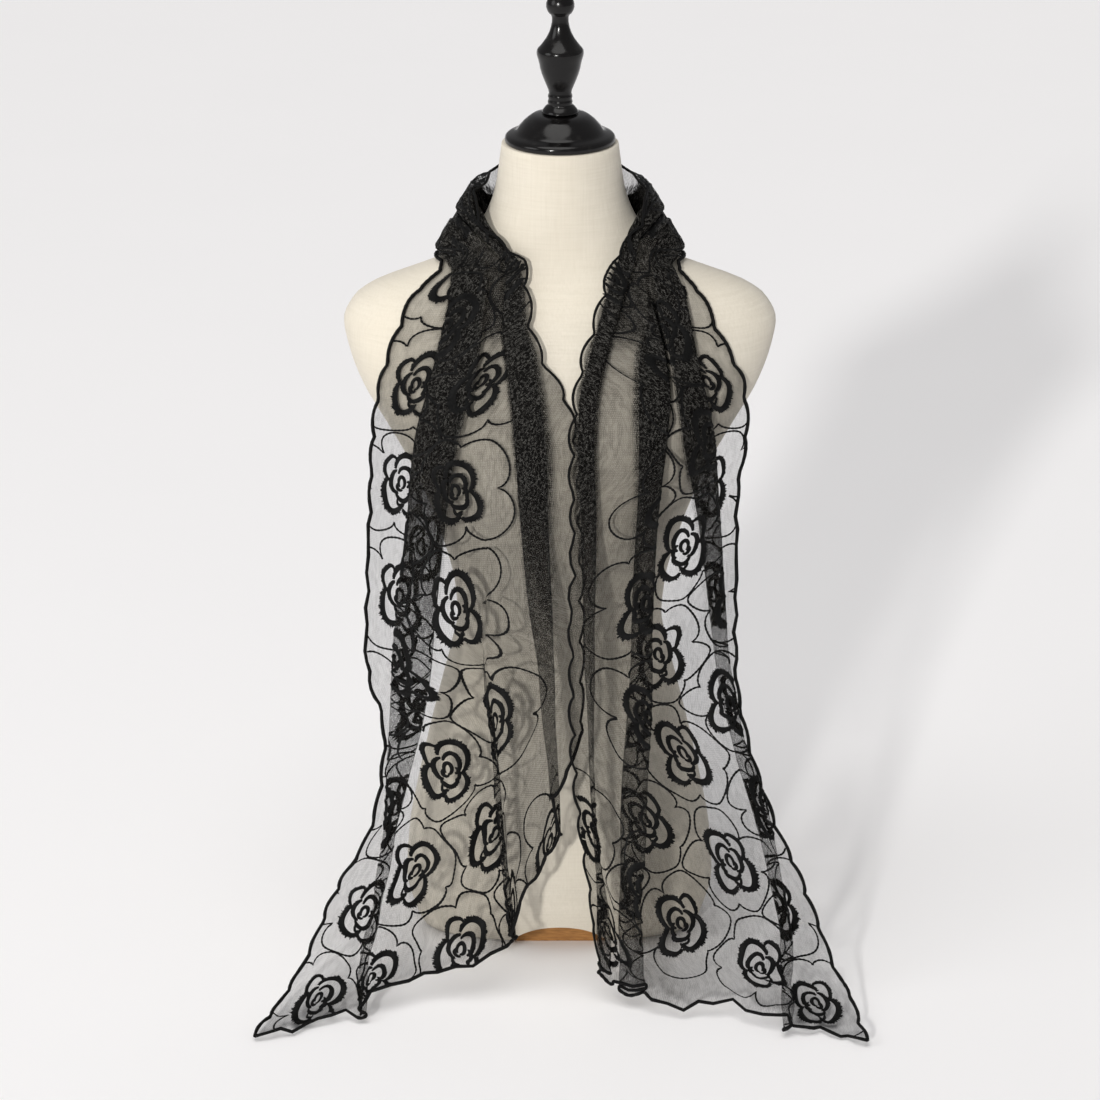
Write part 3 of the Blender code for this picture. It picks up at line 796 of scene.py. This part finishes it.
def lacquer_look(name):
    """Gloss black lacquer on turned wood, with faint turning rings and dust."""
    look = new_material(name, (0.004, 0.0035, 0.0035), 0.16, Specular_IOR_Level=0.3)
    rings = noise(look, (30, 30, 900), 2)
    dust = noise(look, (140, 140, 140), 4)
    feed(look, "Roughness", ranged(look, dust, 0.35, 0.70, 0.12, 0.26))
    dusty = ranged(look, dust, 0.55, 0.8, 0, 1)
    feed(look, "Base Color", mixed(look, dusty, (0.004, 0.0035, 0.0035), (0.013, 0.012, 0.011)))
    bumped(look, rings, 0.05, 0.0004)
    return look


def shaded_inside_board_look():
    """Brown board with fibres, put where the hollow inside of the form lies in shade: its brown is
    painted shade, warmed by light through the shell.
    """
    look = new_material("board", (0.42, 0.20, 0.07), 0.7)
    fibres = noise(look, (90, 90, 700), 4, distortion=0.6)
    pale = ranged(look, fibres, 0.3, 0.7, 0, 1)
    feed(look, "Base Color", mixed(look, pale, (0.22, 0.095, 0.020), (0.38, 0.175, 0.045)))
    bumped(look, fibres, 0.4, 0.0005)
    return look


# Pieces
def new_piece(name, points, faces, look, uvs=None, values=None):
    """A smooth mesh that rides on the body, with flat coordinates and values by point."""
    mesh = bpy.data.meshes.new(name)
    mesh.from_pydata(np.asarray(points).tolist(), [], faces)
    if uvs is not None:
        layer = mesh.uv_layers.new(name="flat")
        corners = np.empty(len(mesh.loops), np.int32)
        mesh.loops.foreach_get("vertex_index", corners)
        layer.data.foreach_set("uv", np.asarray(uvs, np.float32)[corners].ravel())
    for key, value in (values or {}).items():
        made = mesh.attributes.new(key, "FLOAT", "POINT")
        made.data.foreach_set("value", value.astype(np.float32))
    mesh.materials.append(look)
    mesh.shade_smooth()
    piece = bpy.data.objects.new(name, mesh)
    bpy.context.scene.collection.objects.link(piece)
    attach(piece, "root")
    return piece


def grid_faces(rows, columns, first=0, closed=False):
    """Faces between rows of points. closed joins each row's ends."""
    last = columns if closed else columns - 1
    return [
        (
            first + r * columns + c,
            first + r * columns + (c + 1) % columns,
            first + (r + 1) * columns + (c + 1) % columns,
            first + (r + 1) * columns + c,
        )
        for r in range(rows - 1)
        for c in range(last)
    ]


def net_grid():
    """Row places and shares of the net's points, drawn in at its scalloped edges."""
    columns = [running(shawl_section(p)) for p in PLACES]
    share = np.array([run / run[-1] for run in columns])
    row = np.broadcast_to(ROW_INDEX[:, None], share.shape)
    length = ACROSS[:, None]
    near = scallop(OUTER_U, SCALLOP_DEPTH)[:, None] / length
    far = scallop(INNER_U, INNER_DEPTH)[:, None] / length
    band = DRAWN_BAND / length
    share = share + near * np.maximum(1 - share / band, 0)
    share = share - far * np.maximum(1 - (1 - share) / band, 0)
    _, v = flat_of(row, share)
    step = np.gradient(OUTER_U)[:, None]
    for hem, way in ((0.0, 1.0), (ROW_COUNT - 1.0, -1.0)):
        inset = scallop(v + HEM_START, HEM_DEPTH, HEM_PITCH) / step
        away = np.abs(row - hem)
        row = row + way * inset * np.maximum(1 - away * step / DRAWN_BAND, 0)
    return row, share


def net_piece(row, share):
    """The net itself, with how much each point of it hides and how far it is folded."""
    points = on_sheet(row, share)
    u, v = flat_of(row, share)
    folds = [np.nonzero(stack > 0.3)[0] for stack in STACK]
    reach = np.array([(f[0], f[-1]) if len(f) else (0, 0) for f in folds]) / (SAMPLES - 1)
    between = (share > at_row(reach[:, 0], row)) & (share < at_row(reach[:, 1], row))
    gathered = between * ease((points[..., 2] - GATHERS_AT) / (GATHERED_AT - GATHERS_AT))
    stacked = np.maximum(lookup(STACK, row, share), gathered)
    plain = 1 + (PLAIN_LAYERS - 1) * ease((share - PLAIN_FROM) / PLAIN_OVER)
    layers = plain + stacked * (np.interp(points[..., 2], PACKED[:, 0], PACKED[:, 1]) - 1)
    cover = 1 - (1 - ONE_LAYER) ** layers
    values = {"cover": cover.ravel(), "folded": np.minimum(stacked, 0.8).ravel()}
    faces = grid_faces(*row.shape)
    uvs = np.stack([u.ravel(), v.ravel()], -1)
    return new_piece("tulle_net", points.reshape(-1, 3), faces, tulle_look(), uvs, values)


def tube(lines, radius, lumps, name, look):
    """Round cords along lines of points, with a lump every so far and closed ends."""
    points, faces, uvs = [], [], []
    for line in lines:
        line = np.asarray(line)
        ahead = np.gradient(line, axis=0)
        ahead /= np.maximum(np.linalg.norm(ahead, axis=1, keepdims=True), 1e-9)
        side = np.cross(ahead[0], (0.3, 0.2, 0.9))
        run = running(line)
        first = len(points)
        for k, (centre, way) in enumerate(zip(line, ahead)):
            side = side - way * np.dot(side, way)
            side = side / np.linalg.norm(side)
            other = np.cross(way, side)
            thick = radius * (1 + CORD_SWELL * math.sin(2 * math.pi * run[k] / lumps))
            for s in range(CORD_SIDES):
                turn = 2 * math.pi * s / CORD_SIDES
                points.append(centre + thick * (math.cos(turn) * side + math.sin(turn) * other))
                uvs.append((run[k], s / CORD_SIDES * 0.01))
        faces += grid_faces(len(line), CORD_SIDES, first, closed=True)
        faces.append(tuple(range(first + CORD_SIDES - 1, first - 1, -1)))
        faces.append(tuple(range(len(points) - CORD_SIDES, len(points))))
    return new_piece(name, points, faces, look, uvs)


def ribbons(strokes, height, name, look):
    """Raised stitching along flat lines: (line, width on its left, width on its right)."""
    lines, lefts, rights, starts = [], [], [], [0]
    for line, left, right in strokes:
        way = np.gradient(line, axis=0)
        way /= np.maximum(np.linalg.norm(way, axis=1, keepdims=True), 1e-9)
        across = np.column_stack([-way[:, 1], way[:, 0]])
        lines.append(line)
        lefts.append(line + across * left[:, None])
        rights.append(line - across * right[:, None])
        starts.append(starts[-1] + len(line))
    rails, on_net = [], None
    for rail, lift in ((lefts, SIDE_HEIGHT), (lines, height), (rights, SIDE_HEIGHT)):
        flat = np.concatenate(rail)
        row, share, inside = find(flat[:, 0], flat[:, 1])
        rails.append(on_sheet(row, share, lift))
        on_net = inside if on_net is None else on_net & inside
    points = np.stack(rails, 1).reshape(-1, 3)
    uvs = np.zeros((len(points), 2))
    faces = []
    for (line, _, _), start in zip(strokes, starts):
        run = running(line)
        for k in range(3):
            found = np.column_stack([run, 0 * run + 0.003 * k])
            uvs[3 * start + k : 3 * (start + len(line)) + k : 3] = found
        for k in range(len(line) - 1):
            if on_net[start + k] and on_net[start + k + 1]:
                a = 3 * (start + k)
                faces += [(a, a + 1, a + 4, a + 3), (a + 1, a + 2, a + 5, a + 4)]
    kept = np.unique(np.concatenate([np.array(face) for face in faces]))
    renumber = np.full(len(points), -1)
    renumber[kept] = np.arange(len(kept))
    faces = [tuple(int(renumber[p]) for p in face) for face in faces]
    return new_piece(name, points[kept], faces, look, uvs[kept])


def rose_places(chance):
    """Centres, turns and sides of the roses: a staggered lattice on each half."""
    half = OUTER_U[-1]
    hem_way = np.array([LEAN[-1], FLAT_WIDTH[-1]])
    hem_way = hem_way / np.linalg.norm(hem_way)
    first = half - ROSE_START
    rows = round(first / ROSE_PITCH)
    pitch = first / rows
    columns = np.arange(ROSE_FIRST, FLAT_WIDTH[-1], ROSE_SPACING)
    found = []
    for side in (-1, 1):
        for c, v in enumerate(columns):
            for k in range(rows + 1):
                u = first - (k + 0.5 * (c % 2)) * pitch
                along = u - half
                from_hem = -(along * hem_way[1] - v * hem_way[0])
                room = FLAT_WIDTH[-1] - v
                if u < 0.02 * side or from_hem < ROSE_MARGIN + 0.008 or room < ROSE_MARGIN + 0.004:
                    continue
                if v > ROSE_BAND and from_hem > HEM_BAND:
                    continue
                place = np.array([side * u, v]) + chance.normal(0, 0.002, 2)
                found.append((place, chance.normal(0, 0.09), side))
    return found


def turned_flat(line, place, turn, side):
    """A line drawn round the origin, turned and put in its place with its top to the neck."""
    x, y = line[:, 0] * 0.001 * ROSE_ACROSS, line[:, 1] * 0.001 * ROSE_ALONG
    cos, sin = math.cos(turn), math.sin(turn)
    return place + np.column_stack([-side * (y * cos - x * sin), x * cos + y * sin])


def rose_strokes(place, turn, side, chance):
    """Satin stitches of one rose, thick in the middle and ragged on their outer side."""
    strokes = []
    for values in ROSE_ARCS:
        arc = dict(zip(ARC_COLUMNS, values))
        length = math.radians(arc["end"] - arc["start"]) * 0.5 * (arc["rx"] + arc["ry"])
        count = max(int(length / STITCH_STEP) * 2 + 1, 11)
        t = np.linspace(0, 1, count)
        angle = np.radians(arc["start"] + (arc["end"] - arc["start"]) * t)
        line = np.column_stack(
            [arc["x"] + arc["rx"] * np.cos(angle), arc["y"] + arc["ry"] * np.sin(angle)]
        )
        line = line * (1 + 0.03 * np.sin(11 * t + chance.uniform(0, 6)))[:, None]
        swell = 0.42 + 0.58 * np.sin(math.pi * t) ** 0.7
        half = 0.0005 * arc["width"] * swell
        jag = np.abs(chance.normal(0, 0.55, count)) + 0.35 * (np.arange(count) % 2)
        rough = half * (1 + arc["ragged"] * np.minimum(jag, 1.3))
        outer, inner = (half, rough) if side < 0 else (rough, half)
        strokes.append((turned_flat(line, place, turn, side), inner, outer))
    return strokes


def cell_outline(place, centres, chance):
    """The thin line round a rose: uneven lobes that reach half-way to its neighbours."""
    turn = np.linspace(0, 1, CELL_POINTS)
    angle = 2 * math.pi * turn + chance.uniform(0, 6)
    way = np.column_stack([np.cos(angle), np.sin(angle)])
    reach = np.full(len(angle), CELL_FAR)
    for other in centres:
        gap = other - place
        distance = np.linalg.norm(gap)
        if 0 < distance < 2 * CELL_FAR:
            along = way @ gap / distance
            reach = np.minimum(reach, 0.5 * distance / np.maximum(along, 0.05))
    window = np.hanning(CELL_SMOOTH)
    margin = CELL_SMOOTH // 2
    padded = np.concatenate([reach[-margin - 1 : -1], reach, reach[1 : margin + 1]])
    reach = np.convolve(padded, window / window.sum(), "valid")
    near = 1 / np.hypot(way[:, 0] / CELL_NEAR_ALONG, way[:, 1] / CELL_NEAR_ACROSS)
    ends = np.concatenate([[0], np.cumsum(chance.uniform(0.7, 1.3, CELL_LOBES))])
    lobe = np.interp(turn, ends / ends[-1], np.arange(CELL_LOBES + 1))
    cusps = chance.uniform(0.35, 1.0, CELL_LOBES)
    depth = np.interp(lobe, np.arange(CELL_LOBES + 1), np.append(cusps, cusps[0]))
    wave = np.abs(np.sin(math.pi * lobe)) ** 0.5
    reach = near + (reach - 0.0004 - near) * (1 - depth * (1 - wave))
    return place + way * reach[:, None]


def running_stitch(roses, chance):
    """Beaded thin lines: one closed outline with lobes round each rose."""
    centres = np.array([place for place, _, _ in roses])
    strokes = []
    for place in centres:
        line = cell_outline(place, centres, chance)
        run = running(line)
        beads = 0.88 + 0.20 * np.sin(2 * math.pi * run / BEAD_PITCH)
        half = 0.0005 * CELL_WIDTH * beads
        strokes.append((line, half, half))
    return strokes


def rounded(profile):
    """The profile with its corners cut, ends kept."""
    line = np.array(profile)
    near = line[:-1] * 0.75 + line[1:] * 0.25
    far = line[:-1] * 0.25 + line[1:] * 0.75
    inner = np.stack([near, far], 1).reshape(-1, 2)
    return np.vstack([line[:1], inner[1:-1], line[-1:]])


def turned_piece(name, profile, look, node_name):
    """The cap or the finial, turned from its profile."""
    line = rounded(profile)
    angles = np.linspace(0, 2 * math.pi, TURNED_SIDES, endpoint=False)
    rings = line[1:-1]
    points = [(r * math.cos(a), r * math.sin(a), z) for r, z in rings for a in angles]
    faces = grid_faces(len(rings), TURNED_SIDES, closed=True)
    faces.append(tuple(range(TURNED_SIDES - 1, -1, -1)))
    faces.append(tuple(range(len(points) - TURNED_SIDES, len(points))))
    piece = new_piece(name, points, faces, look)
    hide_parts(node_name)


def form_piece():
    """The torso, finer than the solid, with the arch cut into the front of its base."""
    low = np.linspace(0, LOW_TO, LOW_RINGS)
    high = np.linspace(LOW_TO, FORM_TOP - 0.0005, HIGH_RINGS)
    heights = np.unique(np.concatenate([low, high]))
    angles = np.linspace(0, 2 * math.pi, BODY_SIDES, endpoint=False)
    rings = [form_point(angles, np.full(len(angles), h)) for h in heights]
    top = form_point(angles, np.full(len(angles), FORM_TOP)) * (0.988, 0.988, 1)
    points = np.concatenate(rings + [top])
    faces = grid_faces(len(rings) + 1, len(angles), closed=True)
    faces.append(tuple(range(len(angles) - 1, -1, -1)))
    faces.append(tuple(range(len(points) - len(angles), len(points))))
    piece = new_piece("linen_form", points, faces, linen_look())
    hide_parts("dress_form")
    cutter = arch_cutter()
    pocket = piece.modifiers.new("Arch", "BOOLEAN")
    pocket.operation = "DIFFERENCE"
    pocket.solver = "EXACT"
    pocket.object = cutter
    bpy.context.view_layer.update()
    graph = bpy.context.evaluated_depsgraph_get()
    cut = bpy.data.meshes.new_from_object(piece.evaluated_get(graph))
    piece.modifiers.clear()
    piece.data = cut
    piece.data.set_sharp_from_angle(angle=math.radians(50))
    bpy.data.objects.remove(cutter, do_unlink=True)


def arch_cutter():
    """A block with the arch's outline that reaches out of the form's front."""
    xs = ARCH_HALF_WIDTH * np.sin(np.linspace(-math.pi / 2, math.pi / 2, 49))
    tops = ARCH_HEIGHT * np.maximum(1 - np.abs(xs / ARCH_HALF_WIDTH) ** 2.2, 0) ** 0.62
    outline = [(-ARCH_HALF_WIDTH, -0.01)] + list(zip(xs, tops)) + [(ARCH_HALF_WIDTH, -0.01)]
    body = bmesh.new()
    base = body.faces.new([body.verts.new((x, POCKET_BACK, z)) for x, z in outline])
    grown = bmesh.ops.extrude_face_region(body, geom=[base])
    moved = [v for v in grown["geom"] if isinstance(v, bmesh.types.BMVert)]
    bmesh.ops.translate(body, verts=moved, vec=(0, -0.20 - POCKET_BACK, 0))
    bmesh.ops.recalc_face_normals(body, faces=body.faces)
    mesh = bpy.data.meshes.new("arch_cutter")
    body.to_mesh(mesh)
    body.free()
    cutter = bpy.data.objects.new("arch_cutter", mesh)
    bpy.context.scene.collection.objects.link(cutter)
    return cutter


# Stage
def floor_look():
    """Matt pale paper with faint clouds."""
    pale = np.array([0.930, 0.922, 0.930])
    look = new_material("paper", pale, 0.9)
    feed(look, "Base Color", mixed(look, noise(look, (3, 3, 3), 2), pale, 0.985 * pale))
    return look


def floor():
    """A pale floor that reaches far out on every side."""
    ends = (-FLOOR_REACH, FLOOR_REACH)
    points = [(x, y, -FLOOR_UNDER) for y in ends for x in ends]
    mesh = bpy.data.meshes.new("floor")
    mesh.from_pydata(points, [], grid_faces(2, 2))
    mesh.materials.append(floor_look())
    ground = bpy.data.objects.new("floor", mesh)
    bpy.context.scene.collection.objects.link(ground)


def lamp(name, place, aim, size, power):
    """A round area light at a place, aimed at a point."""
    light = bpy.data.lights.new(name, "AREA")
    light.shape = "DISK"
    light.size = size
    light.energy = power
    made = bpy.data.objects.new(name, light)
    bpy.context.scene.collection.objects.link(made)
    made.location = place
    made.rotation_euler = aimed(np.array(aim) - np.array(place))


def far_light(name, way, energy, degrees):
    """A sun that shines along a direction, and is so many degrees wide."""
    sun = bpy.data.lights.new(name, "SUN")
    sun.energy = energy
    sun.angle = math.radians(degrees)
    sun.color = (1.0, 0.985, 0.96)
    made = bpy.data.objects.new(name, sun)
    bpy.context.scene.collection.objects.link(made)
    made.rotation_euler = aimed(way)


def aimed(way):
    """Rotation that points -Z along a direction and keeps Y up."""
    length = np.linalg.norm(way)
    pitch = math.acos(-way[2] / length)
    yaw = math.atan2(way[1], way[0]) - math.pi / 2
    return (pitch, 0.0, yaw)


def lights():
    """An even sky, a key from the front left, soft light from above and a weak side lamp."""
    world = bpy.data.worlds.new("studio")
    world.use_nodes = True
    world.node_tree.nodes["Background"].inputs["Color"].default_value = (0.98, 0.98, 1.0, 1)
    world.node_tree.nodes["Background"].inputs["Strength"].default_value = 0.30
    bpy.context.scene.world = world
    far_light("key", (0.92, 2.70, -0.93), 2.0, 4)
    far_light("overhead", (0.10, 0.25, -1.0), 1.32, 50)
    lamp("side", (-2.6, -1.2, 2.0), (0.0, 0.0, 0.4), 1.6, 16)


def camera():
    data = bpy.data.cameras.new("camera")
    data.sensor_width = 36.0
    data.lens = CAMERA_LENS
    data.clip_end = 50.0
    made = bpy.data.objects.new("camera", data)
    made.location = CAMERA_PLACE
    made.rotation_euler = aimed(CAMERA_WAY)
    bpy.context.scene.collection.objects.link(made)
    bpy.context.scene.camera = made


camera()
floor()
lights()
bpy.context.scene.view_settings.view_transform = "Standard"

chance = np.random.default_rng(7)
net_row, net_share = net_grid()
net = net_piece(net_row, net_share)
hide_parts("shawl_left", "shawl_back", "shawl_right")

outer_edge = on_sheet(net_row[:, 0], net_share[:, 0])
inner_edge = on_sheet(net_row[:, -1], net_share[:, -1])
hems = [on_sheet(net_row[k], net_share[k]) for k in (0, -1)]
yarn = thread_look("edge yarn", 0.0011)
cord = tube([outer_edge] + hems, CORD_RADIUS, 0.006, "edge_cord", yarn)
fine_edge_yarn = thread_look("inner edge yarn", 0.0010)
inner_cord = tube([inner_edge], INNER_CORD_RADIUS, 0.005, "inner_cord", fine_edge_yarn)

roses = rose_places(chance)
satin = [stroke for rose in roses for stroke in rose_strokes(*rose, chance)]
satin_yarn = thread_look("satin yarn", 0.0009)
embroidery = ribbons(satin, SATIN_HEIGHT, "rose_embroidery", satin_yarn)
outlines = running_stitch(roses, chance)
fine_yarn = thread_look("fine yarn", 0.0012)
stitching = ribbons(outlines, OUTLINE_HEIGHT, "outline_stitching", fine_yarn)

form_piece()
turned_piece("lacquered_cap", CAP_PROFILE, lacquer_look("cap lacquer"), "neck_cap")
turned_piece("lacquered_finial", FINIAL_PROFILE, lacquer_look("finial lacquer"), "finial")
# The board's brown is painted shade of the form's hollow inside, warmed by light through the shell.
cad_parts["base_board"].data.materials[0] = shaded_inside_board_look()
